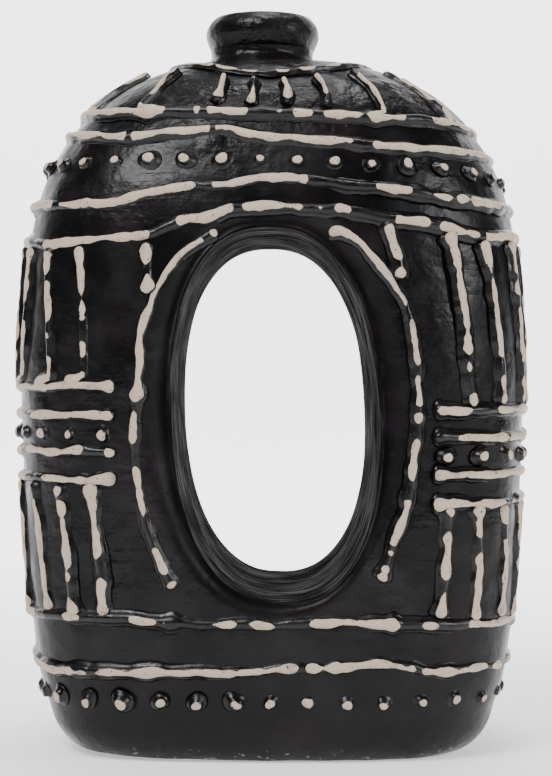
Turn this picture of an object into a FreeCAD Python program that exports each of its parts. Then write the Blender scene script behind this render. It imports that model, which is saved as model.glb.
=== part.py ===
"""Black clay vase with an oval window through its body and slip-trailed lines and dots.

The vase is hand built. A flat base carries a hollow wall of rounded, almost rectangular plan. An oval
clay tube, the tunnel, runs through it from front to back, so the hollow goes round the tunnel like a ring.
A dome closes the top and carries a short round neck with a rolled lip. Raised trails of slip and
small slip dots are laid on the finished wall.

Frame: millimetres, +Z up, the front faces -Y, and the origin is the middle of the resting face.
"turn" is the direction round the vertical axis: 0 at the front, 90 at +X, 180 at the back.
"""
import FreeCAD, Part
import math
import os

from FreeCAD import Vector

# ---- driving dimensions ----
BODY_HEIGHT = 233.5     # table to the flat seat under the neck
BODY_WIDTH = 172.0
BODY_DEPTH = 119.0
SEAT_WIDTH = 60.0       # the flat on top of the dome
SEAT_DEPTH = 50.0
WALL = 6.0
FLOOR = 7.0
SILL_HEIGHT = 52.5      # table to the lowest point of the tunnel
CROWN_HEIGHT = 59.0     # highest point of the tunnel to the seat
TUNNEL_WIDTH = 67.5
TUNNEL_SHIFT = 1.0      # the tunnel sits this far towards +X
ROLL = 12.0             # radius of the rolled edge at the tunnel's sides
ROLL_START = 11.3       # how far behind the front face the roll begins
SIDE_LIP = 9.0          # tunnel's side to the joint with the wall
TOP_LIP = 3.0
BOTTOM_LIP = 3.0
NECK_LEAN = -3.3        # the neck stands off centre
BORE_RADIUS = 12.5
NECK_RADIUS = 17.7
NECK_FOOT = 3.8         # how far the collar spreads on its seat
NECK_HEIGHT = 6.0
LIP_HEIGHT = 11.7
LIP_BULGE = 2.0         # how far the lip stands out past the neck
TRAIL_RADIUS = 2.0      # half the width of a slip trail
TRAIL_RISE = 1.9        # how far a trail stands up from the wall
TRAIL_STEP = 4.5        # length of a trail between two of its sections
TRAIL_END = 0.6         # a trail's ends are this share of its size
DOT_FOOT = 2.6
DOT_TIP = 1.2
DOT_RISE = 2.5
DOT_PITCH = 12.0        # girth from one dot to the next
RING_START = 178.0      # the turn near the back where the full rings begin and end
RING_GAP = 1.5          # half the gap between a ring's two ends, in degrees of turn
BAR_BOW = 0.4           # how far the middle of a bar swings, in degrees of turn
BAND_GAP = 6.0          # row of dots to the line on each side of it
PANEL_GAP = 15.0        # row of dots to the panels above and below
SEAT_GAP = 0.3          # slip to the wall that it lies on
TRAIL_GAP = 0.3         # one trail's end to the next trail
ROLL_END = 65.0         # the rolled edge turns this far, in degrees
PLAN_SPOTS = 48         # spots that set out each closed curve
COURSE_OVERLAP = 4.0    # how far the lower and upper walls reach past the ends of the tunnel
DOME_JOINT = 31.0       # seat down to the joint between dome and upper wall
OVAL_SQUARENESS = 2.35  # of the tunnel: 2 is an ellipse, more is squarer

# ---- worked out from them ----
TUNNEL_TOP = BODY_HEIGHT - CROWN_HEIGHT
TUNNEL_HEIGHT = TUNNEL_TOP - SILL_HEIGHT
TUNNEL_MIDDLE = (TUNNEL_TOP + SILL_HEIGHT) / 2
JOINT_WIDTH = TUNNEL_WIDTH + 2 * SIDE_LIP
JOINT_TOP = TUNNEL_TOP + TOP_LIP
JOINT_BOTTOM = SILL_HEIGHT - BOTTOM_LIP
FAR = 2 * BODY_DEPTH    # reaches past the vase on every side
CLEAR = 2 * TRAIL_RADIUS + TRAIL_GAP    # between the middles of two trails that meet

# The upright outline: zone, share of the zone's height, share of the girth, squareness of the plan.
# foot runs from the table to the tunnel, waist along the tunnel, crown from the seat down to the tunnel.
OUTLINE = [
    ("foot", 0.0, 0.59, 3.6), ("foot", 0.023, 0.65, 3.6), ("foot", 0.067, 0.71, 3.6),
    ("foot", 0.17, 0.78, 3.6), ("foot", 0.29, 0.82, 3.5), ("foot", 0.48, 0.875, 3.5),
    ("foot", 0.76, 0.92, 3.4), ("waist", 0.06, 0.955, 3.3), ("waist", 0.31, 0.985, 3.2),
    ("waist", 0.59, 1.0, 3.2), ("waist", 0.80, 0.985, 3.1), ("crown", 0.99, 0.945, 3.0),
    ("crown", 0.77, 0.893, 2.85), ("crown", 0.64, 0.84, 2.75), ("crown", 0.52, 0.78, 2.6),
    ("crown", 0.415, 0.705, 2.5), ("crown", 0.30, 0.61, 2.35), ("crown", 0.18, 0.455, 2.2),
    ("crown", 0.06, 0.22, 2.05), ("crown", 0.0, 0.0, 2.0),
]


def level(zone, share):
    """Height of a share of one zone."""
    if zone == "foot":
        return SILL_HEIGHT * share
    if zone == "waist":
        return SILL_HEIGHT + TUNNEL_HEIGHT * share
    return BODY_HEIGHT - CROWN_HEIGHT * share


def girth(share):
    """Half width and half depth for a share of the girth."""
    half_width = SEAT_WIDTH / 2 + (BODY_WIDTH - SEAT_WIDTH) / 2 * share
    half_depth = SEAT_DEPTH / 2 + (BODY_DEPTH - SEAT_DEPTH) / 2 * share
    return half_width, half_depth


STATIONS = [(level(zone, rise), *girth(share), square) for zone, rise, share, square in OUTLINE]


def plan_radius(turn, half_width, half_depth, squareness):
    """Distance from the axis to the wall of a rounded rectangle, |x/a|^n + |y/b|^n = 1, towards turn."""
    x, y = math.sin(turn), math.cos(turn)
    return (abs(x / half_width) ** squareness + abs(y / half_depth) ** squareness) ** (-1 / squareness)


def closed_wire(spots, knots):
    """A closed smooth curve through the spots. Curves that share their knots loft into a light surface."""
    curve = Part.BSplineCurve()
    curve.interpolate(Points=spots, Parameters=knots, PeriodicFlag=True)
    return Part.Wire([curve.toShape()])


def chord_knots(spots):
    """How far along a closed row of spots each one lies, and the whole length last."""
    knots = [0.0]
    for a, b in zip(spots, spots[1:] + spots[:1]):
        knots.append(knots[-1] + (b - a).Length)
    return knots


def plan_spots(height, half_width, half_depth, squareness, count=PLAN_SPOTS):
    """Spots round one level of the wall, from +X."""
    spots = []
    for i in range(count):
        turn = math.pi / 2 + 2 * math.pi * i / count
        r = plan_radius(turn, half_width, half_depth, squareness)
        spots.append(Vector(r * math.sin(turn), -r * math.cos(turn), height))
    return spots


PLAN_KNOTS = chord_knots(plan_spots(*max(STATIONS, key=lambda station: station[1])))


def plan_wire(height, half_width, half_depth, squareness):
    """One level of the wall."""
    return closed_wire(plan_spots(height, half_width, half_depth, squareness), PLAN_KNOTS)


def wall_at(height):
    """Half width, half depth and squareness of the outside at a height, eased between the stations."""
    last = len(STATIONS) - 1
    i = max(k for k in range(last) if STATIONS[k][0] <= max(height, 0.0))
    span = STATIONS[i + 1][0] - STATIONS[i][0]
    t = min((height - STATIONS[i][0]) / span, 1.0)
    values = []
    for field in (1, 2, 3):
        def slope(k):
            k0, k1 = max(k - 1, 0), min(k + 1, last)
            return (STATIONS[k1][field] - STATIONS[k0][field]) / (STATIONS[k1][0] - STATIONS[k0][0])
        a, b = STATIONS[i][field], STATIONS[i + 1][field]
        values.append(
            a * (2 * t ** 3 - 3 * t ** 2 + 1) + b * (3 * t ** 2 - 2 * t ** 3)
            + span * (slope(i) * (t ** 3 - 2 * t ** 2 + t) + slope(i + 1) * (t ** 3 - t ** 2))
        )
    return values


def on_wall(turn, height):
    """A point of the outside, with turn in degrees."""
    angle = math.radians(turn)
    r = plan_radius(angle, *wall_at(height))
    return Vector(r * math.sin(angle), -r * math.cos(angle), height)


def outward(turn, height):
    """The direction square to the outside there."""
    across = on_wall(turn + 1, height) - on_wall(turn - 1, height)
    up = on_wall(turn, height + 0.5) - on_wall(turn, height - 0.5)
    return across.cross(up).normalize()


def turn_of(x, height):
    """The turn at which the front of the wall stands at that x."""
    half_width, half_depth, squareness = wall_at(height)
    y = half_depth * (1 - min(abs(x) / half_width, 1) ** squareness) ** (1 / squareness)
    return math.degrees(math.atan2(x, y))


def levels_between(low, high, step):
    """Heights about a step apart along the upright outline."""
    fine = [low + (high - low) * i / 1000 for i in range(1001)]
    spots = [Vector(wall_at(height)[0], 0, height) for height in fine]
    travelled = [0.0]
    for a, b in zip(spots, spots[1:]):
        travelled.append(travelled[-1] + (b - a).Length)
    count = round(travelled[-1] / step)
    goals = [travelled[-1] * i / count for i in range(1, count)]
    return [low, *(next(h for h, run in zip(fine, travelled) if run >= goal) for goal in goals)]


def body_solid():
    """The whole outside as one solid, from the table to the seat."""
    bend = level("crown", 0.25)     # above this the dome turns over to the seat
    heights = [*levels_between(0, bend, 7.0), *levels_between(bend, BODY_HEIGHT, 3.0), BODY_HEIGHT]
    return Part.makeLoft([plan_wire(height, *wall_at(height)) for height in heights], True, False, False, 5)


def hollow_solid():
    """The hollow as one solid: each level moved in by the wall, square to the upright outline."""
    levels = []
    for below, here, above in zip(STATIONS, STATIONS[1:], STATIONS[2:]):
        rise, spread = above[0] - below[0], above[1] - below[1]
        out, up = rise / math.hypot(rise, spread), -spread / math.hypot(rise, spread)
        levels.append((here[0] - WALL * up, here[1] - WALL * out, here[2] - WALL * out, here[3]))
    standing = [s for s in levels if s[0] > FLOOR + WALL / 2]
    first = (FLOOR, standing[0][1] - WALL / 3, standing[0][2] - WALL / 3, standing[0][3])
    last = (BODY_HEIGHT - WALL, SEAT_WIDTH / 2, SEAT_DEPTH / 2, STATIONS[-1][3])
    return Part.makeLoft([plan_wire(*s) for s in [first, *standing, last]], True, False, False, 5)


def oval_spots(width, bottom, top, y, count=PLAN_SPOTS):
    """Spots round an upright oval in the plane Y = y, centred on the tunnel, from +X."""
    spots = []
    for i in range(count):
        angle = 2 * math.pi * i / count
        r = plan_radius(math.pi / 2 - angle, width / 2, (top - bottom) / 2, OVAL_SQUARENESS)
        x, height = TUNNEL_SHIFT + r * math.cos(angle), (top + bottom) / 2 + r * math.sin(angle)
        spots.append(Vector(x, y, height))
    return spots


OVAL_KNOTS = chord_knots(oval_spots(TUNNEL_WIDTH, SILL_HEIGHT, TUNNEL_TOP, 0))


def oval_wire(width, bottom, top, y):
    """One upright oval of the tunnel."""
    return closed_wire(oval_spots(width, bottom, top, y), OVAL_KNOTS)


def window_prism():
    """What the walls leave out for the tunnel and its rolled edges."""
    face = Part.Face(oval_wire(JOINT_WIDTH, JOINT_BOTTOM, JOINT_TOP, -FAR))
    return face.extrude(Vector(0, 2 * FAR, 0))


def tunnel_core(skin):
    """The tunnel's air, moved out by a skin: a straight oval that flares at both ends."""
    start = BODY_DEPTH / 2 - ROLL_START
    bend, straight = ROLL - skin, ROLL
    end = math.radians(ROLL_END)
    angles = [end * i / 5 for i in range(6)]
    steps = [(bend * (1 - math.cos(angle)), bend * math.sin(angle)) for angle in angles]
    steps.append((steps[-1][0] + straight * math.tan(end), steps[-1][1] + straight))

    def ring(spread, y):
        width = TUNNEL_WIDTH + 2 * (skin + spread)
        bottom = SILL_HEIGHT - skin - spread * BOTTOM_LIP / SIDE_LIP
        top = TUNNEL_TOP + skin + spread * TOP_LIP / SIDE_LIP
        return oval_wire(width, bottom, top, y)

    core = Part.Face(ring(0, -start)).extrude(Vector(0, 2 * start, 0))
    for side in (-1, 1):
        rolled = Part.makeLoft([ring(spread, side * (start + out)) for spread, out in steps[:-1]], True)
        mouth = Part.makeLoft([ring(spread, side * (start + out)) for spread, out in steps[-2:]], True)
        core = core.fuse([rolled, mouth])
    return core


def slab(bottom, top):
    """Everything between two heights."""
    return Part.makeBox(2 * FAR, 2 * FAR, top - bottom, Vector(-FAR, -FAR, bottom))


def lathe(profile_edges):
    """A ring turned round the neck's axis."""
    face = Part.Face(Part.Wire(profile_edges))
    return face.revolve(Vector(NECK_LEAN, 0, 0), Vector(0, 0, 1), 360)


def at(radius, height):
    """A point beside the neck's axis."""
    return Vector(NECK_LEAN + radius, 0, height)


def line(a, b):
    """A straight edge."""
    return Part.LineSegment(a, b).toShape()


def smooth(*points):
    """A smooth edge through the points."""
    curve = Part.BSplineCurve()
    curve.interpolate(list(points))
    return curve.toShape()


def neck_collar():
    """The short neck: a foot that spreads on the seat, and a straight wall above it."""
    seat, top = BODY_HEIGHT, BODY_HEIGHT + NECK_HEIGHT
    toe = seat + 1.0
    waist = seat + NECK_HEIGHT * 0.55
    hollow_of_flare = at(NECK_RADIUS + NECK_FOOT * 0.3, seat + NECK_HEIGHT * 0.3)
    foot = NECK_RADIUS + NECK_FOOT
    return lathe([
        line(at(BORE_RADIUS, seat), at(foot, seat)),
        line(at(foot, seat), at(foot, toe)),
        smooth(at(foot, toe), hollow_of_flare, at(NECK_RADIUS, waist)),
        line(at(NECK_RADIUS, waist), at(NECK_RADIUS, top)),
        line(at(NECK_RADIUS, top), at(BORE_RADIUS, top)),
        line(at(BORE_RADIUS, top), at(BORE_RADIUS, seat)),
    ])


def mouth_lip():
    """The rolled lip: swells out past the neck, turns over at the top and falls back into the bore."""
    foot, top = BODY_HEIGHT + NECK_HEIGHT, BODY_HEIGHT + NECK_HEIGHT + LIP_HEIGHT
    widest = NECK_RADIUS + LIP_BULGE
    crest = (BORE_RADIUS + widest) / 2
    bore_end = top - LIP_HEIGHT * 0.35
    outside = smooth(
        at(NECK_RADIUS, foot),
        at(widest - 0.4, foot + LIP_HEIGHT * 0.26),
        at(widest, foot + LIP_HEIGHT * 0.5),
        at(widest - 1.0, top - LIP_HEIGHT * 0.2),
        at(crest, top),
    )
    inside = smooth(
        at(crest, top),
        at(BORE_RADIUS + 0.9, top - LIP_HEIGHT * 0.12),
        at(BORE_RADIUS, bore_end),
    )
    return lathe([
        line(at(BORE_RADIUS, foot), at(NECK_RADIUS, foot)), outside, inside,
        line(at(BORE_RADIUS, bore_end), at(BORE_RADIUS, foot)),
    ])


def walked(points, step=TRAIL_STEP):
    """Turns and heights along a smooth line through the chosen points, a step apart on the wall."""
    curve = Part.BSplineCurve()
    curve.interpolate([Vector(turn, height, 0) for turn, height in points])
    first, reach, pieces = curve.FirstParameter, curve.LastParameter - curve.FirstParameter, 400
    fine = [curve.value(first + reach * i / pieces) for i in range(pieces + 1)]
    spots = [on_wall(p.x, p.y) for p in fine]
    travelled = [0.0]
    for a, b in zip(spots, spots[1:]):
        travelled.append(travelled[-1] + (b - a).Length)
    count = max(2, round(travelled[-1] / step))
    way, k = [], 0
    for i in range(count + 1):
        goal = travelled[-1] * i / count
        while k < pieces - 1 and travelled[k + 1] < goal:
            k += 1
        share = (goal - travelled[k]) / max(travelled[k + 1] - travelled[k], 1e-9)
        spot = fine[k] + (fine[k + 1] - fine[k]) * share
        way.append((spot.x, spot.y))
    return way


def trail(points):
    """A line of slip along turns and heights: half-round sections that stand square to the wall."""
    way = walked(points)
    sections = []
    for i, (turn, height) in enumerate(way):
        ahead = on_wall(*way[min(i + 1, len(way) - 1)])
        behind = on_wall(*way[max(i - 1, 0)])
        normal = outward(turn, height)
        side = (ahead - behind).normalize().cross(normal).normalize()
        size = TRAIL_END if i in (0, len(way) - 1) else 1.0
        foot = on_wall(turn, height) + normal * SEAT_GAP
        left, right = foot - side * TRAIL_RADIUS * size, foot + side * TRAIL_RADIUS * size
        crest = foot + normal * TRAIL_RISE * size
        sections.append(Part.Wire([Part.Arc(left, crest, right).toShape(), line(right, left)]))
    return Part.makeLoft(sections, True, True, False)


def dot(turn, height):
    """A small blunt cone of slip that stands square to the wall."""
    normal = outward(turn, height)
    return Part.makeCone(DOT_FOOT, DOT_TIP, DOT_RISE, on_wall(turn, height) + normal * SEAT_GAP, normal)


def eased(table, turn):
    """The value at a turn of a table of (turn, value) pairs that runs once round the vase."""
    turn = (turn + 180) % 360 - 180
    whole = [(table[-1][0] - 360, table[-1][1]), *table, (table[0][0] + 360, table[0][1])]
    for (t0, v0), (t1, v1) in zip(whole, whole[1:]):
        if t0 <= turn <= t1:
            share = (turn - t0) / (t1 - t0)
            return v0 + (v1 - v0) * (3 - 2 * share) * share ** 2


def full_ring(height_at):
    """A trail all the way round, whose two ends nearly meet at the back."""
    first, reach = RING_START - RING_GAP, 2 * RING_GAP - 360
    turns = [first + reach * i / 36 for i in range(37)]
    return trail([(turn, height_at(turn)) for turn in turns])


# ---- the lines, drawn freehand: (turn, place) pairs that run once round the vase; the place is a
# share of the way from the seat down to the tunnel where nothing else is said ----
SHOULDER = [(-150, 0.36), (-85, 0.31), (-45, 0.36), (0, 0.38), (50, 0.405), (90, 0.42), (140, 0.38)]
UPPER = [
    (-140, 0.53), (-85, 0.43), (-45, 0.50), (-20, 0.48), (5, 0.53), (50, 0.575), (88, 0.575), (150, 0.54),
]
UPPER_DOTS = [(-140, 0.66), (-85, 0.62), (-45, 0.64), (0, 0.648), (40, 0.67), (85, 0.72), (150, 0.67)]
ARCH = [
    (-150, 0.80), (-90, 0.84), (-50, 0.875), (-22, 0.79), (0, 0.745), (25, 0.79), (60, 0.87), (90, 0.88),
    (145, 0.81),
]
PANEL_TOP = [  # millimetres over the top of the joint
    (-165, 2.4), (-145, -4.0), (-110, -6.5), (-90, -5.5), (-55, -8.0), (-38, -7.0), (-22, -1.0),
    (-12, 2.4), (0, 2.6), (20, 2.4), (38, -2.0), (55, -6.0), (90, -4.5), (120, -6.5), (145, -4.0),
    (165, 2.4), (180, 2.8),
]
PANEL_BASE = [  # millimetres under the tunnel's lowest point
    (-140, 5.6), (-90, 4.6), (-45, 4.8), (-20, 6.2), (0, 6.4), (25, 5.8), (50, 7.0), (90, 10.0), (150, 6.2),
]
LOWER = [  # share of the tunnel's height over the table
    (-140, 0.60), (-85, 0.63), (-62, 0.575), (-20, 0.585), (12, 0.61), (33, 0.635), (50, 0.58), (90, 0.60),
]
LOWER_DOTS_SHARE = 0.4
CORDON_FRONT, CORDON_SIDE = 0.13, 0.025     # share of the crown
RAY_TURNS = [-75, -48, -22, -9, 6, 21, 40, 64, 88, 110, 131, 152, 170, 189, 209, 230, 253]
RAY_GAP = 0.045                             # share of the crown between a ray and the ring it points at

# Each side's band of dots crosses its panel at a share of the tunnel's height, and its bars stand at
# shares of the way from the front frame to the back frame: (top, bottom).
SIDES = {
    "left": {
        "way": -1, "band": 0.45,
        "upper": [
            (0.10, 0.07), (0.20, 0.16), (0.28, 0.28), (0.40, 0.39), (0.52, 0.53), (0.63, 0.62),
            (0.74, 0.75), (0.84, 0.85), (0.93, 0.92),
        ],
        "lower": [
            (0.06, 0.035), (0.14, 0.11), (0.23, 0.19), (0.35, 0.30), (0.47, 0.46), (0.59, 0.60),
            (0.70, 0.71), (0.80, 0.82), (0.90, 0.93),
        ],
    },
    "right": {
        "way": 1, "band": 0.39,
        "upper": [
            (0.05, 0.09), (0.145, 0.18), (0.26, 0.29), (0.40, 0.40), (0.53, 0.54), (0.65, 0.64),
            (0.75, 0.76), (0.85, 0.86), (0.93, 0.94),
        ],
        "lower": [
            (0.035, 0.02), (0.115, 0.115), (0.205, 0.205), (0.29, 0.30), (0.42, 0.41), (0.55, 0.56),
            (0.67, 0.68), (0.79, 0.80), (0.90, 0.92),
        ],
    },
}

# The frame lines beside the window: angle about the tunnel's middle, from +X, and how far outside the
# joint they run, past the half width of the line itself.
FRAME_LEFT = [
    (119, 0.3), (130, 1.2), (140, 2.2), (160, 1.0), (180, 0.3), (200, 0.3), (217, 0.8), (230, 2.0),
    (236, 2.8),
]
FRAME_RIGHT = [(63, 0.3), (50, 0.6), (38, 1.4), (24, 1.8), (5, 0.8), (-20, 0.3), (-43, 0.3), (-56, 2.6)]
# The short stays from the frame lines up to the line above: side, length, how far past its clearance
# from the frame line the foot stands, and how many degrees of turn the top leans.
FRAME_STAYS = [(-1, 8.0, 2.0, 1.2), (1, 9.0, 3.0, -2.2)]
PANEL_ENDS = (-0.005, 1.005)                # where the lines across a panel end, on the same share
BAND_DOTS_ENDS = (0.03, 0.99)               # and where its row of dots ends


def crown(share):
    """Height of a share of the crown, down from the seat."""
    return level("crown", share)


def ring_heights():
    """How high each full ring runs at a turn, by name."""
    return {
        "shoulder": lambda turn: crown(eased(SHOULDER, turn)),
        "upper": lambda turn: crown(eased(UPPER, turn)),
        "upper_dots": lambda turn: crown(eased(UPPER_DOTS, turn)),
        "arch": lambda turn: crown(eased(ARCH, turn)),
        "panel_top": lambda turn: JOINT_TOP + eased(PANEL_TOP, turn),
        "panel_base": lambda turn: SILL_HEIGHT - eased(PANEL_BASE, turn),
        "lower": lambda turn: SILL_HEIGHT * eased(LOWER, turn),
        "lower_dots": lambda turn: SILL_HEIGHT * LOWER_DOTS_SHARE,
        "cordon": lambda turn: crown(
            CORDON_SIDE + (CORDON_FRONT - CORDON_SIDE) * math.cos(math.radians(turn)) ** 4
        ),
    }


def dot_row(height_at, first=-180.0, last=180.0):
    """Dots about a pitch apart along the wall, between two turns or all the way round."""
    turns = [first + (last - first) * i / 36 for i in range(37)]
    way = walked([(turn, height_at(turn)) for turn in turns], DOT_PITCH)
    if last - first == 360:
        way.pop()
    return Part.makeCompound([dot(*spot) for spot in way])


def frame_point(angle, gap, back=False):
    """Where a frame line runs: outside the joint oval by its own half width and a gap."""
    a = math.radians(angle)
    half_width, half_height = JOINT_WIDTH / 2, (JOINT_TOP - JOINT_BOTTOM) / 2
    r = plan_radius(math.pi / 2 - a, half_width, half_height, OVAL_SQUARENESS) + TRAIL_RADIUS + gap
    x, height = TUNNEL_SHIFT + r * math.cos(a), (JOINT_TOP + JOINT_BOTTOM) / 2 + r * math.sin(a)
    turn = turn_of(x, height)
    return (180 - turn, height) if back else (turn, height)


def window_frame(height_over, back):
    """The two long lines beside the window, each with a short stay that runs up to the line above."""
    sides = (FRAME_LEFT, FRAME_RIGHT)
    lines = [trail([frame_point(angle, gap, back) for angle, gap in side]) for side in sides]
    lines += [frame_stay(height_over, back, *stay) for stay in FRAME_STAYS]
    return Part.makeCompound(lines)


def frame_stay(height_over, back, side, length, away, lean):
    """A short line that stands clear outside a frame line, where there is room for its length."""
    for step in range(180):
        turn, foot = frame_point(90 - side * step / 2, CLEAR + away)
        upper, lower = (180 - turn - lean, 180 - turn) if back else (turn + lean, turn)
        top = height_over(upper) - CLEAR
        if top - foot >= length:
            break
    return trail([(upper, top), ((upper + lower) / 2, (top + foot) / 2), (lower, foot)])


def panel_turn(way, share):
    """The turn at a share of the way from the front frame round one side to the back frame."""
    edge = abs(turn_of(TUNNEL_SHIFT + way * (JOINT_WIDTH / 2 + 2 * CLEAR), TUNNEL_MIDDLE))
    return way * (edge + (180 - 2 * edge) * share)


def side_panels(name, heights):
    """The lines, dots and bars of one side, by node name."""
    side = SIDES[name]
    way = side["way"]
    middle = SILL_HEIGHT + TUNNEL_HEIGHT * side["band"]

    def across(height):
        start, end = PANEL_ENDS
        shares = [start + (end - start) * i / 12 for i in range(13)]
        return trail([(panel_turn(way, share), height) for share in shares])

    def bars(shares, low, high):
        made = []
        for top_share, bottom_share in shares:
            upper, lower = panel_turn(way, top_share), panel_turn(way, bottom_share)
            top, bottom = high(upper) - CLEAR, low(lower) + CLEAR
            bowed = ((upper + lower) / 2 + BAR_BOW, (top + bottom) / 2)
            made.append(trail([(upper, top), bowed, (lower, bottom)]))
        return Part.makeCompound(made)

    first, last = (panel_turn(way, share) for share in BAND_DOTS_ENDS)
    return {
        f"{name}_upper_bars": bars(side["upper"], lambda t: middle + PANEL_GAP, heights["panel_top"]),
        f"{name}_panel_sill": across(middle + PANEL_GAP),
        f"{name}_band_top_line": across(middle + BAND_GAP),
        f"{name}_band_dots": dot_row(lambda turn: middle, first, last),
        f"{name}_band_bottom_line": across(middle - BAND_GAP),
        f"{name}_panel_head": across(middle - PANEL_GAP),
        f"{name}_lower_bars": bars(side["lower"], heights["panel_base"], lambda t: middle - PANEL_GAP),
    }


def clay_pieces():
    """The pieces that the potter joins, by node name."""
    body, hollow, window = body_solid(), hollow_solid(), window_prism()
    walls = body.cut(hollow).cut(window)
    low, high = SILL_HEIGHT + COURSE_OVERLAP, TUNNEL_TOP - COURSE_OVERLAP
    dome = BODY_HEIGHT - DOME_JOINT
    bore = Part.makeCylinder(BORE_RADIUS, FAR, Vector(NECK_LEAN, 0, dome))
    pillars = walls.common(slab(low, high)).Solids
    pillars.sort(key=lambda solid: solid.CenterOfMass.x)
    tunnel = body.common(window).cut([tunnel_core(0), hollow.cut(tunnel_core(WALL))])
    return {
        "base_slab": walls.common(slab(-1, FLOOR)),
        "lower_wall": walls.common(slab(FLOOR, low)),
        "left_pillar": pillars[0],
        "right_pillar": pillars[-1],
        "upper_wall": walls.common(slab(high, dome)),
        "shoulder_dome": walls.common(slab(dome, BODY_HEIGHT + 1)).cut(bore),
        "tunnel_wall": tunnel,
        "neck_collar": neck_collar(),
        "mouth_lip": mouth_lip(),
    }


def slip_pieces():
    """The trails and dots of slip, by node name."""
    heights = ring_heights()
    rays = []
    for turn in RAY_TURNS:
        inner = heights["cordon"](turn) - CROWN_HEIGHT * RAY_GAP
        outer = heights["shoulder"](turn) + CROWN_HEIGHT * RAY_GAP
        rays.append(trail([(turn, outer), (turn, (inner + outer) / 2), (turn, inner)]))
    made = {
        "neck_cordon": full_ring(heights["cordon"]),
        "shoulder_rays": Part.makeCompound(rays),
        "shoulder_ring": full_ring(heights["shoulder"]),
        "upper_ring": full_ring(heights["upper"]),
        "upper_dots": dot_row(heights["upper_dots"]),
        "arch_ring": full_ring(heights["arch"]),
        "panel_top_line": full_ring(heights["panel_top"]),
        "panel_base_line": full_ring(heights["panel_base"]),
        "lower_ring": full_ring(heights["lower"]),
        "lower_dots": dot_row(heights["lower_dots"]),
    }
    made["front_window_frame"] = window_frame(heights["panel_top"], back=False)
    made["back_window_frame"] = window_frame(heights["panel_top"], back=True)
    for name in SIDES:
        made.update(side_panels(name, heights))
    return made


def main():
    """Make every piece and write it to the parts folder."""
    os.makedirs("parts", exist_ok=True)
    for name, shape in {**clay_pieces(), **slip_pieces()}.items():
        solids = shape.Solids
        state = "valid" if shape.isValid() else "INVALID"
        print(name, len(solids), state, round(sum(solid.Volume for solid in solids)))
        shape.exportStep(f"parts/{name}.step")


main()
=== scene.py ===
# %% [markdown]
# # A black clay vase with a window
#
# This lesson dresses the finished design of a hand-built vase. The design gives the sizes and the
# pieces; here each piece gets the surface that clay, a burnishing stone and a slip trailer leave.
# Everything is worked out in millimetres on grids of points, and scaled to metres at the very end.

# %% Load the frame
import math

import bpy
import numpy as np
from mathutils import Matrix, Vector


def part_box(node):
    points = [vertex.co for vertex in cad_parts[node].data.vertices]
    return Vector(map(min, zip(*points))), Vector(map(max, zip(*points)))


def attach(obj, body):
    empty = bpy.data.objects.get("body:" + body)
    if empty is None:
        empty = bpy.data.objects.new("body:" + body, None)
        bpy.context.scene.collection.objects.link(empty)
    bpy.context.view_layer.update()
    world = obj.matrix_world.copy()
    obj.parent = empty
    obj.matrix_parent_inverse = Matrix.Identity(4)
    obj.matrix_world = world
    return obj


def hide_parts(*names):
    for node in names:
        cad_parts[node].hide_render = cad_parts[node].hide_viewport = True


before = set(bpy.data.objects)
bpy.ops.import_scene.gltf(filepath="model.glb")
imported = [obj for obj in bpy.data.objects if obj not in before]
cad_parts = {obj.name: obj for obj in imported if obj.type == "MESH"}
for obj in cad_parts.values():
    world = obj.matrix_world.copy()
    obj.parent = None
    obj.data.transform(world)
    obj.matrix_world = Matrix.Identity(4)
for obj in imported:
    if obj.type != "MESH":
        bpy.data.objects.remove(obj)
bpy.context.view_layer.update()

MM = 0.001


def extent(node):
    """Lowest and highest corner of a node, in millimetres."""
    low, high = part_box(node)
    return np.array(low) / MM, np.array(high) / MM


# %% [markdown]
# ## Camera and light first
#
# The vase is looked at square from the front, from a little under its middle. A long lens a good
# half metre away keeps the verticals upright and still shows the far rim of the tunnel inside the
# near one. Burnished black clay is drawn by what it mirrors: one broad soft light over the front
# left, one weaker at the right and a pale floor leave the flat front dark and the rounds shining.

# %% Camera
EYE_DISTANCE = 650.0        # from the axis of the vase, in millimetres
EYE_HEIGHT = 122.0
LENS = 85.9                 # millimetres, on a 36 mm sensor

camera_data = bpy.data.cameras.new("camera")
camera_data.lens = LENS
camera_data.sensor_width = 36.0
camera_data.clip_start = 0.01
camera = bpy.data.objects.new("camera", camera_data)
camera.location = (1.4 * MM, -EYE_DISTANCE * MM, EYE_HEIGHT * MM)
camera.rotation_euler = (math.pi / 2, 0, 0)
bpy.context.scene.collection.objects.link(camera)
bpy.context.scene.camera = camera


# %% Lights and room
def soft_light(name, place, target, size, power, tint=(1, 1, 1)):
    """A square area light at a place, turned to a target, both in metres."""
    data = bpy.data.lights.new(name, "AREA")
    data.shape = "SQUARE"
    data.size = size
    data.energy = power
    data.color = tint
    light = bpy.data.objects.new(name, data)
    light.location = place
    light.rotation_euler = (Vector(target) - Vector(place)).to_track_quat("-Z", "Y").to_euler()
    bpy.context.scene.collection.objects.link(light)
    return light


soft_light("key", (-0.5, -0.7, 1.15), (0, 0, 0.12), 0.6, 19.0)
soft_light("fill", (1.0, -0.6, 0.6), (0, 0, 0.12), 0.5, 9.0)
soft_light("top", (0.1, 0.15, 1.3), (0, 0, 0.2), 0.5, 7.0)

world = bpy.data.worlds.new("studio")
world.use_nodes = True
world.node_tree.nodes["Background"].inputs["Color"].default_value = (1, 1, 1, 1)
world.node_tree.nodes["Background"].inputs["Strength"].default_value = 0.05
bpy.context.scene.world = world
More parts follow.
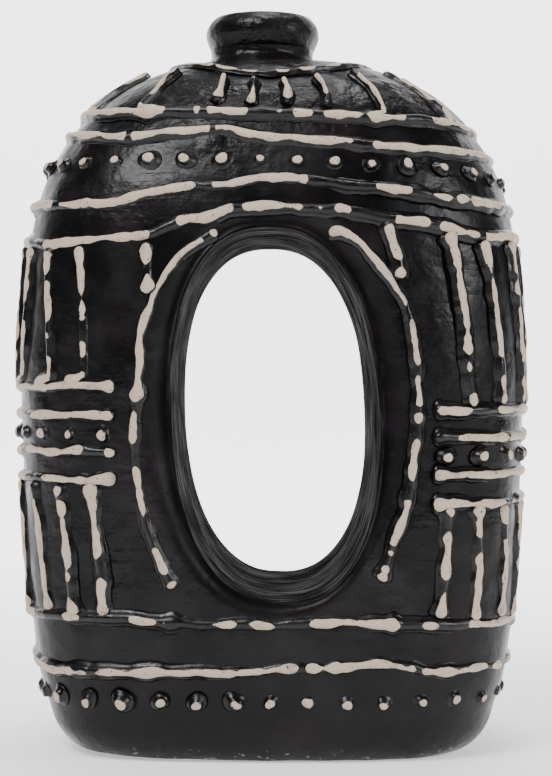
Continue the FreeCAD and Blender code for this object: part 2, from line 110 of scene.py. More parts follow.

# %% [markdown]
# ## The floor
#
# A white sheet lies on the table and curves up far behind. It is a profile carried sideways: flat,
# a quarter circle, then upright, so that no corner shows. No lamp stands behind it: the sheet itself
# glows, a painted light that is faint by the vase and strong behind it, so the room in front stays
# dim and the flat black front mirrors next to nothing.


# %% Floor
def grid_quads(rows, columns, wrap_rows=False, wrap_columns=False):
    """Corner numbers of the quads of a grid whose point r, c is number r * columns + c."""
    r = np.arange(rows if wrap_rows else rows - 1)[:, None]
    c = np.arange(columns if wrap_columns else columns - 1)[None, :]
    r1, c1 = (r + 1) % rows, (c + 1) % columns
    quads = np.stack([r * columns + c, r * columns + c1, r1 * columns + c1, r1 * columns + c], -1)
    return quads.reshape(-1, 4)


def grid_mesh(name, points, wrap_rows=False, wrap_columns=False):
    """A mesh over a grid of points (rows, columns, 3) in millimetres; quads join neighbours."""
    quads = grid_quads(*points.shape[:2], wrap_rows, wrap_columns)
    return mesh_of(name, points.reshape(-1, 3), quads)


def mesh_of(name, points, quads, triangles=()):
    """A smooth-shaded mesh object from points in millimetres, quads and triangles."""
    quads = np.asarray(quads, np.int32).reshape(-1, 4)
    triangles = np.asarray(triangles, np.int32).reshape(-1, 3)
    corners = np.concatenate([quads.ravel(), triangles.ravel()])
    starts = np.concatenate([np.arange(len(quads)) * 4, len(quads) * 4 + np.arange(len(triangles)) * 3])
    mesh = bpy.data.meshes.new(name)
    mesh.vertices.add(len(points))
    mesh.vertices.foreach_set("co", (np.asarray(points) * MM).astype(np.float32).ravel())
    mesh.loops.add(len(corners))
    mesh.loops.foreach_set("vertex_index", corners)
    mesh.polygons.add(len(starts))
    mesh.polygons.foreach_set("loop_start", starts.astype(np.int32))
    mesh.polygons.foreach_set("use_smooth", np.ones(len(starts), dtype=bool))
    mesh.update(calc_edges=True)
    mesh.validate()
    piece = bpy.data.objects.new(name, mesh)
    bpy.context.scene.collection.objects.link(piece)
    return piece


def room_sheet(width=6000.0, front=-1500.0, back=1600.0, bend=700.0, height=2600.0):
    """Floor profile (y, z): level, a quarter turn of radius bend, then upright; carried along X."""
    turn = np.linspace(0, math.pi / 2, 24)
    y = np.concatenate([[front], back + bend * np.sin(turn), [back + bend]])
    z = np.concatenate([[0.0], bend - bend * np.cos(turn), [height]])
    x = np.linspace(-width / 2, width / 2, 2)
    points = np.empty((len(x), len(y), 3))
    points[..., 0] = x[:, None]
    points[..., 1] = y
    points[..., 2] = z
    return grid_mesh("floor", points)


GLOW_NEAR, GLOW_FAR = 0.4, 2.6         # how strongly the sheet glows by the vase and behind it

floor = room_sheet()
glowing_paper = bpy.data.materials.new("glowing_paper")
glowing_paper.use_nodes = True
tree = glowing_paper.node_tree
sheet = tree.nodes["Principled BSDF"]
sheet.inputs["Base Color"].default_value = (0.93, 0.93, 0.93, 1)
sheet.inputs["Roughness"].default_value = 0.9
# painted light: the paper glows by itself, faintly by the vase and strongly behind it, and so lights the vase
# from behind
sheet.inputs["Emission Color"].default_value = (1, 1, 1, 1)
coordinates, split = tree.nodes.new("ShaderNodeTexCoord"), tree.nodes.new("ShaderNodeSeparateXYZ")
glow = tree.nodes.new("ShaderNodeMapRange")
for socket, value in zip(glow.inputs[1:5], (-0.1, 0.7, GLOW_NEAR, GLOW_FAR)):
    socket.default_value = value
tree.links.new(coordinates.outputs["Object"], split.inputs[0])
tree.links.new(split.outputs[1], glow.inputs[0])
tree.links.new(glow.outputs[0], sheet.inputs["Emission Strength"])
floor.data.materials.append(glowing_paper)
print("floor", len(floor.data.polygons), "quads")

# %% [markdown]
# ## Sizes, read from the frame
#
# The outline of the wall is the one of the design: a foot that opens fast, an upright waist beside
# the window and a crown that closes over it. Each row below is a share of its zone's height, the
# share of the girth that the wall has reached there, and how square its plan is.

# %% Sizes
TOP_LIP, BOTTOM_LIP, SIDE_LIP = 3.0, 3.0, 9.0   # tunnel to the edge of the tunnel's clay
OVAL_SQUARENESS = 2.35
SEAT_HALF = (30.0, 25.0)                        # half width and half depth under the neck
WIDEST_SQUARENESS = 3.2                         # how square the plan is where the vase is widest

tunnel_low, tunnel_high = extent("tunnel_wall")
seat_height = extent("neck_collar")[0][2]
lip_low, lip_high = extent("mouth_lip")
half_width = extent("right_pillar")[1][0]
pillar_depth = extent("left_pillar")[1][1]
across_share = 1 - abs(tunnel_low[0] / half_width) ** WIDEST_SQUARENESS
half_depth = pillar_depth / across_share ** (1 / WIDEST_SQUARENESS)
sill = tunnel_low[2] + BOTTOM_LIP
tunnel_top = tunnel_high[2] - TOP_LIP
tunnel_x = (tunnel_low[0] + tunnel_high[0]) / 2
tunnel_half = np.array([(tunnel_high[0] - tunnel_low[0]) / 2 - SIDE_LIP, (tunnel_top - sill) / 2])
middle = (sill + tunnel_top) / 2
neck_x = (lip_low[0] + lip_high[0]) / 2
print("sill", sill, "tunnel top", tunnel_top, "seat", seat_height, "half sizes", half_width, half_depth)

OUTLINE = [
    ("foot", 0.0, 0.59, 3.6), ("foot", 0.023, 0.65, 3.6), ("foot", 0.067, 0.71, 3.6),
    ("foot", 0.17, 0.78, 3.6), ("foot", 0.29, 0.82, 3.5), ("foot", 0.48, 0.875, 3.5),
    ("foot", 0.76, 0.92, 3.4), ("waist", 0.06, 0.955, 3.3), ("waist", 0.31, 0.985, 3.2),
    ("waist", 0.59, 1.0, WIDEST_SQUARENESS), ("waist", 0.80, 0.985, 3.1), ("crown", 0.99, 0.945, 3.0),
    ("crown", 0.77, 0.893, 2.85), ("crown", 0.64, 0.84, 2.75), ("crown", 0.52, 0.78, 2.6),
    ("crown", 0.415, 0.705, 2.5), ("crown", 0.30, 0.61, 2.35), ("crown", 0.18, 0.455, 2.2),
    ("crown", 0.06, 0.22, 2.05), ("crown", 0.0, 0.0, 2.0),
]


def level(zone, share):
    """Height of a share of one zone."""
    if zone == "foot":
        return sill * share
    if zone == "waist":
        return sill + (tunnel_top - sill) * share
    return seat_height - (seat_height - tunnel_top) * share


STATIONS = np.array([
    [level(zone, rise), SEAT_HALF[0] + (half_width - SEAT_HALF[0]) * share,
     SEAT_HALF[1] + (half_depth - SEAT_HALF[1]) * share, square]
    for zone, rise, share, square in OUTLINE
])

# %% [markdown]
# ## The wall as a formula
#
# At each height the plan is a rounded rectangle, |x/a|^n + |y/b|^n = 1. Between the stations a, b
# and n are eased with cubic curves whose slopes come from the neighbours, so the wall has no rings.


# %% Wall
def wall_at(height):
    """Half width a, half depth b and squareness n at heights: cubic Hermite between the stations."""
    height = np.clip(np.asarray(height, float), STATIONS[0, 0], STATIONS[-1, 0])
    before, after = STATIONS[:-2], STATIONS[2:]
    slopes = np.empty((len(STATIONS), 3))
    slopes[1:-1] = (after[:, 1:] - before[:, 1:]) / (after[:, :1] - before[:, :1])
    slopes[0] = (STATIONS[1, 1:] - STATIONS[0, 1:]) / (STATIONS[1, 0] - STATIONS[0, 0])
    slopes[-1] = (STATIONS[-1, 1:] - STATIONS[-2, 1:]) / (STATIONS[-1, 0] - STATIONS[-2, 0])
    i = np.clip(np.searchsorted(STATIONS[:, 0], height, side="right") - 1, 0, len(STATIONS) - 2)
    span = (STATIONS[i + 1, 0] - STATIONS[i, 0])[..., None]
    t = ((height - STATIONS[i, 0]) / span[..., 0])[..., None]
    values = (
        STATIONS[i, 1:] * (2 * t ** 3 - 3 * t ** 2 + 1) + STATIONS[i + 1, 1:] * (3 * t ** 2 - 2 * t ** 3)
        + span * (slopes[i] * (t ** 3 - 2 * t ** 2 + t) + slopes[i + 1] * (t ** 3 - t ** 2))
    )
    return values[..., 0], values[..., 1], values[..., 2]


def on_wall(turn, height):
    """Points of the wall towards turns in degrees: 0 is the front, 90 is +X."""
    a, b, n = wall_at(height)
    x, y = np.sin(np.radians(turn)), np.cos(np.radians(turn))
    r = (np.abs(x / a) ** n + np.abs(y / b) ** n) ** (-1 / n)
    return np.stack([r * x, -r * y, np.broadcast_to(height, r.shape)], -1)


def unit(v):
    """Vectors of length 1."""
    return v / np.maximum(np.linalg.norm(v, axis=-1, keepdims=True), 1e-9)


def outward(turn, height):
    """Direction square to the wall: across times up, both by small differences."""
    across = on_wall(turn + 1, height) - on_wall(turn - 1, height)
    up = on_wall(turn, height + 0.4) - on_wall(turn, height - 0.4)
    return unit(np.cross(across, up))


def ripple(points, wavelength, seed, waves=14):
    """A smooth random field near -1..1: the mean of plane waves in seeded directions."""
    draw = np.random.default_rng(seed)
    heading = unit(draw.normal(size=(waves, 3))) * draw.uniform(0.7, 1.4, (waves, 1))
    phase = draw.uniform(0, 2 * math.pi, waves)
    return np.sin(points @ heading.T * (2 * math.pi / wavelength) + phase).sum(-1) / math.sqrt(waves)


def hand(points):
    """How far the hand-smoothed wall swells or sinks, in millimetres: broad, palm and finger sized."""
    return 0.45 * ripple(points, 95, 1) + 0.16 * ripple(points, 34, 2) + 0.05 * ripple(points, 13, 3)


# %% [markdown]
# ## The fired body
#
# Wall, dome and tunnel are luted together wet and smoothed over, so on the finished vase no joint
# shows. The whole outside is one surface shaped like a ring: round the window one way (angle), and
# the other way a loop that runs through the tunnel, over the rolled rim, across the front, round
# the silhouette and down the back. Each loop is walked as a dense line of points, and then divided
# evenly, which keeps the quads of one size over rim, front and side alike.

# %% Body
ROLL_SIDE, ROLL_TOP, ROLL_BOTTOM = 12.0, 9.0, 4.0   # radius of the tunnel's rolled edge
LEAN = -0.033                                       # the window leans left as it rises
SPOKES, FRONT_STEPS, TUNNEL_STEPS = 440, 82, 44


def oval_radius(angle, half_x, half_z, squareness=OVAL_SQUARENESS):
    """Radius of the oval |x/half_x|^n + |z/half_z|^n = 1 at an angle."""
    c, s = np.abs(np.cos(angle)) / half_x, np.abs(np.sin(angle)) / half_z
    return (c ** squareness + s ** squareness) ** (-1 / squareness)


def front_depth(x, z):
    """How far in front of the middle plane the wall stands at x, z."""
    a, b, n = wall_at(z)
    return b * np.maximum(1 - np.minimum(np.abs(x) / a, 1) ** n, 0) ** (1 / n)


def silhouette_reach(angle):
    """Distance from the window's middle to the vase's silhouette, by halving the interval."""
    near, far = np.full_like(angle, 20.0), np.full_like(angle, 400.0)
    for _ in range(40):
        reach = (near + far) / 2
        x, z = tunnel_x + reach * np.cos(angle), middle + reach * np.sin(angle)
        a = wall_at(z)[0]
        inside = (np.abs(x) < a) & (z > 0) & (z < seat_height)
        near, far = np.where(inside, reach, near), np.where(inside, far, reach)
    return near


def spaced(line, steps):
    """Points evenly spaced along a polyline (points, 3)."""
    run = np.concatenate([[0], np.cumsum(np.linalg.norm(np.diff(line, axis=0), axis=1))])
    goals = np.linspace(0, run[-1], steps)
    return np.stack([np.interp(goals, run, line[:, k]) for k in range(3)], -1)


def rolled_rim(angle):
    """Roll radius round the window: wide at the sides, tight at the bottom."""
    up = np.sin(angle)
    return np.where(up > 0, ROLL_SIDE + (ROLL_TOP - ROLL_SIDE) * up ** 2,
                    ROLL_SIDE + (ROLL_BOTTOM - ROLL_SIDE) * np.abs(up) ** 1.5)


def body_loops():
    """Points (spokes, loop, 3), and for each the share of tunnel (1) against outside (0)."""
    angle = np.linspace(0, 2 * math.pi, SPOKES, endpoint=False)
    bore = oval_radius(angle, *tunnel_half)
    reach = silhouette_reach(angle)
    roll = rolled_rim(angle)
    loops, tunnel_share = [], []
    for j in range(SPOKES):
        c, s = math.cos(angle[j]), math.sin(angle[j])
        out = reach[j] - (reach[j] - bore[j]) * (1 - np.linspace(0, 1, 500)) ** 6
        x, z = tunnel_x + out * c, middle + out * s
        y = front_depth(x, z)
        # the front sheet, bent into the tunnel along a quarter ellipse of the roll's radius
        inset = np.clip((out - bore[j]) / roll[j], 0, 1)
        y = y - roll[j] * (1 - np.sqrt(np.clip(1 - (1 - inset) ** 2, 0, 1)))
        face = np.stack([x, -y, z], -1)
        flat = np.linspace(0, 1, 60)[1:, None] * np.array([0, 1, 0]) * y[-1] + face[-1]
        front = soften(np.concatenate([face, flat]))
        front = spaced(front, FRONT_STEPS)
        start = front[0]
        back = (front * [1, -1, 1])[::-1][1:]
        across = np.linspace(-start[1], start[1], TUNNEL_STEPS)[1:-1]
        tube = np.stack([np.full_like(across, start[0]), across, np.full_like(across, start[2])], -1)
        loops.append(np.concatenate([front, back, tube]))
        rim_run = np.linalg.norm(front - start, axis=1) / roll[j]
        skin = np.clip(1.3 - rim_run, 0, 1)
        tunnel_share.append(np.concatenate([skin, skin[::-1][1:], np.ones(len(tube))]))
    return np.array(loops), np.array(tunnel_share)


def soften(line, reach=3.0, low=12.0, high=16.0):
    """Round the corner at the foot and at the seat: a running mean along the line near them."""
    run = np.concatenate([[0], np.cumsum(np.linalg.norm(np.diff(line, axis=0), axis=1))])
    even = np.linspace(0, run[-1], 900)
    dense = np.stack([np.interp(even, run, line[:, k]) for k in range(3)], -1)
    width = max(3, int(reach / (run[-1] / 900)))
    kernel = np.hanning(2 * width + 1)
    kernel /= kernel.sum()
    padded = np.concatenate([dense[:1].repeat(width, 0), dense, (dense * [1, -1, 1])[::-1][1:width + 1]])
    smooth = np.stack([np.convolve(padded[:, k], kernel, "valid") for k in range(3)], -1)[:len(dense)]
    near = np.clip((low - dense[:, 2]) / 4, 0, 1) + np.clip((dense[:, 2] - (seat_height - high)) / 4, 0, 1)
    return dense + (smooth - dense) * np.clip(near, 0, 1)[:, None]


loops, tunnel_share = body_loops()
print("body grid", loops.shape)


def grid_normals(points):
    """Unit normals of a grid that closes both ways: cross product of central differences."""
    along = np.roll(points, -1, 1) - np.roll(points, 1, 1)
    around = np.roll(points, -1, 0) - np.roll(points, 1, 0)
    return unit(np.cross(around, along))


def add_value(piece, name, values):
    """A named number on every vertex, for the material to read."""
    piece.data.attributes.new(name, "FLOAT", "POINT").data.foreach_set(
        "value", np.asarray(values, dtype=np.float32).ravel())


BORE_RADIUS = 12.5
WELL_DEPTH = 48.0       # the mouth opens into a deep well inside the dome

normals = grid_normals(loops)
lean_shift = LEAN * (loops[..., 2] - middle) * tunnel_share
body_points = loops + normals * hand(loops)[..., None] * (1 - 0.5 * tunnel_share[..., None])
body_points[..., 0] += lean_shift
body_points[..., 2] = np.where(loops[..., 2] < 1.0, np.maximum(body_points[..., 2], 0.0), body_points[..., 2])
from_neck = np.hypot(body_points[..., 0] - neck_x, body_points[..., 1])
well = np.clip((15.0 - from_neck) / 1.5, 0, 1) * (body_points[..., 2] > seat_height - 20)
body_points[..., 2] -= WELL_DEPTH * well ** 2 * (3 - 2 * well)
clay_body = grid_mesh("clay_body", body_points, wrap_rows=True, wrap_columns=True)
add_value(clay_body, "tunnel", tunnel_share)
print("clay body", len(clay_body.data.polygons), "quads")

# %% [markdown]
# ## Neck and lip
#
# The potter throws the neck as a small ring and the lip as a fat roll on top of it. Both are
# profiles turned round the neck's own axis, which stands a little off the middle. Each profile is a
# closed outline, so each piece is a closed ring of clay with the bore in it.


# %% Turned pieces
def spline(points, per_span=8, closed=False):
    """A Catmull-Rom curve: between two points, a cubic whose slopes come from their neighbours."""
    p = np.asarray(points, float)
    before, after = (p[-1:], p[:2]) if closed else (2 * p[:1] - p[1:2], 2 * p[-1:] - p[-2:-1])
    p = np.concatenate([before, p, after])
    t = np.linspace(0, 1, per_span, endpoint=False)[:, None]
    spans = [
        0.5 * (2 * b + (c - a) * t + (2 * a - 5 * b + 4 * c - d) * t ** 2 + (3 * b - 3 * c + d - a) * t ** 3)
        for a, b, c, d in zip(p, p[1:], p[2:], p[3:])
    ]
    return np.concatenate(spans + ([] if closed else [p[-2:-1]]))


def turned(name, outline, uneven, seed, sides=180):
    """A closed outline (radius, height) carried round the neck's axis, with a little unevenness."""
    profile = spline(outline, closed=True)
    turn = np.linspace(0, 2 * math.pi, sides, endpoint=False)[:, None]
    points = np.stack([
        neck_x + profile[:, 0] * np.cos(turn), profile[:, 0] * np.sin(turn),
        np.broadcast_to(profile[:, 1], (sides, len(profile))),
    ], -1)
    away = unit(points - [neck_x, 0, 0] - points * [0, 0, 1])
    swell = uneven * ripple(points, 21, seed) + 0.35 * uneven * ripple(points, 7, seed + 1)
    points = points + away * swell[..., None]
    return grid_mesh(name, points, wrap_rows=True, wrap_columns=True)


lip_foot, lip_top, lip_radius = lip_low[2], lip_high[2], (lip_high[0] - lip_low[0]) / 2
neck_radius = lip_radius - 2.0

neck = turned("neck", [
    (neck_radius, lip_foot + 0.6), (neck_radius - 0.1, lip_foot - 2.2), (neck_radius + 1.2, lip_foot - 4.2),
    (neck_radius + 4.2, lip_foot - 5.9), (neck_radius + 7.0, seat_height - 1.2),
    (neck_radius + 6.6, seat_height - 4), (15.4, seat_height - 4), (15.0, lip_foot),
], 0.18, 11)
lip = turned("rolled_lip", [
    (neck_radius - 0.2, lip_foot - 0.2), (lip_radius - 0.7, lip_foot + 2.7), (lip_radius, lip_foot + 5.6),
    (lip_radius - 0.8, lip_top - 2.8), (lip_radius - 3.5, lip_top - 0.1), (BORE_RADIUS + 1.4, lip_top - 1.1),
    (BORE_RADIUS, lip_top - 4.4), (BORE_RADIUS, seat_height), (BORE_RADIUS + 0.1, seat_height - 8),
    (14.4, seat_height - 8), (15.0, lip_foot - 1.5),
], 0.14, 13)

# %% [markdown]
# ## Trails of slip
#
# A slip trailer leaves a bead of thick clay: round on top, with a skirt where it wets the wall,
# swollen where the hand stopped. The same cross-section is carried along each route. Its width and
# height breathe along the way, both ends are domed shut, and every point remembers how far up the
# bead it lies, which later decides where the pale slip shows.

# %% Marks on the front
# where the slip swells, and where its crest is bare: x, height and reach in millimetres
BLOBS = [
    (-71, 162, 2.2), (-56, 165, 2.5), (-53, 138, 2.2), (-51, 124, 2.2), (-40, 154, 2.5),
    (-44, 120, 2.2), (-47, 91, 3.0), (-51, 86, 2.2), (-64, 89, 2.2), (-69, 56, 2.2), (-58, 54, 2.2),
    (-32, 48, 2.5), (-34, 57, 2.2), (-48, 111, 2.5), (-47, 100, 2.7), (59, 119, 2.2), (38, 49, 2.5),
    (39, 45, 2.2), (62, 80, 2.2), (48, 51, 2.2), (61, 50, 2.2), (15, 214, 2.2), (-8, 215, 2.2),
    (4, 218, 2.2), (-18, 217, 2.2), (34, 212, 2.2), (-40, 213, 2.5), (49, 113, 2.5), (47, 96, 2.5),
    (45, 86, 2.5), (14, 31, 2.2), (20, 31, 2.2),
]
BARE_PLACES = [
    (-78, 154, 1.7), (-70, 158, 2.6), (-66, 127, 1.3), (-55, 159, 2.6), (-40, 160, 0.9),
    (-21, 171, 1.6), (-11, 179, 1.3), (-54, 142, 0.9), (-54, 167, 1.0), (-45, 169, 0.9),
    (-73, 167, 0.9), (38, 175, 1.3), (52, 174, 1.9), (68, 171, 1.0), (49, 166, 2.9), (58, 124, 0.9),
    (71, 120, 0.9), (64, 166, 0.9), (12, 179, 1.0), (-58, 112, 0.9), (-54, 101, 0.9), (46, 115, 1.3),
    (44, 98, 1.0), (43, 89, 1.6), (38, 71, 0.9), (37, 67, 1.6), (35, 63, 1.0), (35, 57, 2.9),
    (-38, 72, 1.3), (-33, 64, 1.0), (-33, 61, 1.6), (-33, 53, 2.6), (-61, 77, 0.9), (-58, 60, 1.6),
    (-73, 89, 0.9), (-63, 91, 1.0), (-73, 91, 1.0), (49, 79, 0.9), (48, 63, 1.0), (48, 57, 0.9),
    (62, 79, 0.9), (62, 57, 1.9), (-47, 48, 0.9), (-28, 46, 8.7), (-9, 45, 3.2), (7, 45, 5.8),
    (27, 48, 0.9), (44, 47, 3.9), (61, 46, 2.3), (17, 31, 0.9), (-46, 204, 1.0), (-19, 205, 1.0),
    (-22, 212, 1.3), (6, 210, 1.0), (52, 201, 0.9),
]

# %% One bead
TRAIL_HALF = 2.05
TRAIL_RISE = 1.9
PROFILE_U = np.array([-1.5, -1.16, -0.97, -0.8, -0.62, -0.42, -0.2, 0, 0.2, 0.42, 0.62, 0.8, 0.97, 1.16, 1.5])
PROFILE_V = np.where(np.abs(PROFILE_U) < 1, (1 - np.minimum(np.abs(PROFILE_U), 1) ** 2.2) ** 0.8, 0.0)
PROFILE_V[[1, -2]] = 0.03
PROFILE_V[[0, -1]] = -0.28


def along_noise(run, wavelength, seed):
    """A smooth random line near -1..1 over distances along a route."""
    return ripple(np.stack([run, np.zeros_like(run), np.zeros_like(run)], -1), wavelength, seed, 9)


def on_clay(points):
    """Move points of the plain wall back onto the rolled edge where they lie over it."""
    x, z = points[:, 0] - tunnel_x, points[:, 2] - middle
    angle, r = np.arctan2(z, x), np.hypot(x, z)
    roll = rolled_rim(angle)
    inset = np.clip((r - oval_radius(angle, *tunnel_half)) / roll, 0, 1)
    drop = roll * (1 - np.sqrt(1 - (1 - inset) ** 2))
    return points - np.sign(points[:, 1:2]) * (drop * (np.abs(points[:, 1]) > 25))[:, None] * [0, 1, 0]


def near_marks(points, marks):
    """How close points of the front come to marked places (x, z, reach): 1 at a mark, 0 beyond its reach."""
    x, z, reach = np.array(marks).T
    away = np.hypot(points[:, None, 0] - x, points[:, None, 2] - z) / reach
    return np.clip(1.35 - away, 0, 1).max(1) * (points[:, 1] < 0)


def bead(turn, height, seed, half=TRAIL_HALF, rise=TRAIL_RISE, bare=0.06, step=0.85, blob=0.3, rub=0.68):
    """One trail along dense turns and heights. rub is how far up its sides the pale slip begins, and
    bare about the share of the crest that has none.

    Returns points, quads, triangles, and the pale value of every point: how far up the bead the point
    lies, less a line that wanders along the trail and rises past the crest where it is bare.
    """
    dense = on_wall(turn, height)
    run = np.concatenate([[0], np.cumsum(np.linalg.norm(np.diff(dense, axis=0), axis=1))])
    count = max(6, int(run[-1] / step))
    s = np.linspace(0, run[-1], count)
    turn, height = np.interp(s, run, turn), np.interp(s, run, height)
    foot, normal = on_clay(on_wall(turn, height)), outward(turn, height)
    ahead = unit(np.gradient(foot, axis=0))
    side = unit(np.cross(ahead, normal))
    sway = 0.35 * along_noise(s, 24, seed) + 0.14 * along_noise(s, 7, seed + 1)
    foot = foot + normal * hand(foot)[:, None] + side * sway[:, None]
    to_end = np.minimum(s, run[-1] - s)
    swell = 1 + 0.12 * along_noise(s, 11, seed + 2) + 0.045 * along_noise(s, 4.2, seed + 3)
    swell += blob * np.exp(-((to_end - 2.4) / 2.2) ** 2) + 0.45 * near_marks(foot, BLOBS)
    dome = np.sqrt(np.clip(1 - (1 - np.clip(to_end / half, 0, 1)) ** 2, 0.0025, 1))
    w, h = half * swell * dome, rise * (0.4 + 0.6 * swell) * dome
    points = foot[:, None] + side[:, None] * (PROFILE_U * w[:, None])[..., None]
    points = points + normal[:, None] * (PROFILE_V * h[:, None])[..., None]
    columns = len(PROFILE_U)
    quads = grid_quads(count, columns, wrap_columns=True)[:, [0, 3, 2, 1]]
    tips = np.stack([points[0].mean(0), points[-1].mean(0)])
    c = np.arange(columns)
    c1, last = (c + 1) % columns, (count - 1) * columns
    fan = [np.stack([np.full(columns, count * columns), c, c1], -1),
           np.stack([np.full(columns, count * columns + 1), last + c1, last + c], -1)]
    hole = along_noise(s, 24, seed + 4) + 0.5 * along_noise(s, 8, seed + 5)
    bare_from = np.quantile(hole, 1 - bare) if bare > 0 else 9.0
    edge = rub + 0.12 * along_noise(s, 12, seed + 6) + 0.045 * along_noise(s, 3.4, seed + 7)
    edge = edge - 0.55 * (swell - 1)
    edge = np.clip(edge, 0.3, 0.93) + 0.7 * np.clip((hole - bare_from + 0.45) / 0.6, 0, 1)
    edge = edge + 0.9 * near_marks(foot, BARE_PLACES)
    skew = 0.06 * np.sign(PROFILE_U) * along_noise(s, 14, seed + 8)[:, None]
    pale = PROFILE_V[None, :] * dome[:, None] + skew - edge[:, None]
    points = np.concatenate([points.reshape(-1, 3), tips])
    return points, quads, np.concatenate(fan), np.concatenate([pale.ravel(), [-1, -1]])


def join(parts):
    """Several (points, quads, triangles, values) as one."""
    offsets = np.cumsum([0] + [len(part[0]) for part in parts[:-1]])
    return (np.concatenate([part[0] for part in parts]),
            np.concatenate([part[1] + o for part, o in zip(parts, offsets)]),
            np.concatenate([part[2] + o for part, o in zip(parts, offsets)]),
            np.concatenate([part[3] for part in parts]))


slip_pieces = []


def slip_piece(name, parts):
    """One object of beads or dots that stands for the node of that name."""
    points, quads, tris, pale = join(parts)
    piece = mesh_of(name + "_slip", points, quads, tris)
    add_value(piece, "pale", pale)
    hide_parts(name)
    slip_pieces.append(piece)
    print(name, len(parts), "strokes,", len(quads), "quads")
    return piece


# %% [markdown]
# ## Rings
#
# The rings are drawn freehand while the vase turns, so each has its own rise and fall. A short table
# holds the places the hand went through: turn and share of the crown, or millimetres over or under
# the window. Between them the line is eased, and it closes on itself at the back.

# %% Ring routes
SHOULDER = [(-150, 0.36), (-85, 0.31), (-45, 0.36), (0, 0.38), (50, 0.405), (90, 0.42), (140, 0.38)]
UPPER = [
    (-140, 0.53), (-85, 0.43), (-45, 0.50), (-20, 0.48), (5, 0.53), (50, 0.575), (88, 0.575), (150, 0.54),
]
UPPER_DOTS = [(-140, 0.66), (-85, 0.62), (-45, 0.64), (0, 0.648), (40, 0.67), (85, 0.72), (150, 0.67)]
ARCH = [
    (-150, 0.80), (-90, 0.84), (-50, 0.875), (-22, 0.79), (0, 0.745), (25, 0.79), (60, 0.87), (90, 0.88),
    (145, 0.81),
]
PANEL_TOP = [
    (-165, 2.4), (-145, -4.0), (-110, -6.5), (-90, -5.5), (-55, -8.0), (-38, -7.0), (-22, -1.0), (-12, 2.4),
    (0, 2.6), (20, 2.4), (38, -2.0), (55, -6.0), (90, -4.5), (120, -6.5), (145, -4.0), (165, 2.4), (180, 2.8),
]
PANEL_BASE = [
    (-140, 5.6), (-90, 4.6), (-45, 4.8), (-20, 6.2), (0, 6.4), (25, 5.8), (50, 7.0), (90, 10.0), (150, 6.2),
]
LOWER = [
    (-140, 0.60), (-85, 0.63), (-62, 0.575), (-20, 0.585), (12, 0.61), (33, 0.635), (50, 0.58), (90, 0.60),
]
LOWER_DOTS_SHARE = 0.4
CORDON_FRONT, CORDON_SIDE = 0.13, 0.025


def eased(table, turn):
    """Value at turns from a table that runs once round: smooth steps between its rows."""
    t, v = np.array(table, float).T
    t, v = np.concatenate([[t[-1] - 360], t, [t[0] + 360]]), np.concatenate([[v[-1]], v, [v[0]]])
    turn = (np.asarray(turn, float) + 180) % 360 - 180
    i = np.clip(np.searchsorted(t, turn, side="right") - 1, 0, len(t) - 2)
    share = (turn - t[i]) / (t[i + 1] - t[i])
    return v[i] + (v[i + 1] - v[i]) * (3 - 2 * share) * share ** 2


def crown(share):
    """Height of a share of the crown: 0 at the neck, 1 at the window's top."""
    return level("crown", share)


HEIGHTS = {
    "neck_cordon": lambda t: crown(CORDON_SIDE + (CORDON_FRONT - CORDON_SIDE) * np.cos(np.radians(t)) ** 4),
    "shoulder_ring": lambda t: crown(eased(SHOULDER, t)),
    "upper_ring": lambda t: crown(eased(UPPER, t)),
    "upper_dots": lambda t: crown(eased(UPPER_DOTS, t)),
    "arch_ring": lambda t: crown(eased(ARCH, t)),
    "panel_top_line": lambda t: tunnel_high[2] + eased(PANEL_TOP, t),
    "panel_base_line": lambda t: sill - eased(PANEL_BASE, t),
    "lower_ring": lambda t: sill * eased(LOWER, t),
    "lower_dots": lambda t: sill * LOWER_DOTS_SHARE + 0 * t,
}
FULL_TURN = np.linspace(179.2, -179.2, 1441)
BARE = {
    "neck_cordon": 0.6, "shoulder_ring": 0.1, "upper_ring": 0.05, "arch_ring": 0.14, "panel_top_line": 0.16,
    "panel_base_line": 0.3, "lower_ring": 0.03,
}
THIN = {"neck_cordon": 0.55}
for k, (name, bare) in enumerate(BARE.items()):
    size = THIN.get(name, 1.0)
    ring = bead(FULL_TURN, HEIGHTS[name](FULL_TURN), 100 + 20 * k, TRAIL_HALF * size, TRAIL_RISE * size, bare)
    slip_piece(name, [ring])

# %% [markdown]
# ## Rays, window frame and panels
#
# Short strokes run down from the neck, two long curves stand beside the window, and each side panel
# has upright bars over and under a band of dots. Bars are placed by shares of the way from the front
# frame round to the back frame, as the design places them.

# %% Rays
RAY_TURNS = [-75, -48, -22, -9, 6, 21, 40, 64, 88, 110, 131, 152, 170, 189, 209, 230, 253]
RAY_GAP = 0.045
CLEAR = 4.3             # between the middles of two trails that meet


def stroke(ends, seed, **look):
    """A bead along a spline through a few (turn, height) places."""
    way = spline(ends, per_span=60)
    return bead(way[:, 0], way[:, 1], seed, **look)


crown_height = seat_height - tunnel_top
rays = []
for k, turn in enumerate(RAY_TURNS):
    inner = float(HEIGHTS["neck_cordon"](turn)) - crown_height * RAY_GAP
    outer = float(HEIGHTS["shoulder_ring"](turn)) + 1.6
    ends = [(turn, inner), (turn + 0.8, (inner + outer) / 2), (turn, outer + 1.2)]
    if 30 < abs(turn) < 100:
        ends += [(turn - math.copysign(1.5, turn), outer - 0.6), (turn - math.copysign(7, turn), outer - 1.2)]
    front = abs(turn) < 50
    rays.append(stroke(ends, 400 + 9 * k, bare=0.12, half=1.2 if front else 1.75, blob=0.2, rub=0.66))
slip_piece("shoulder_rays", rays)

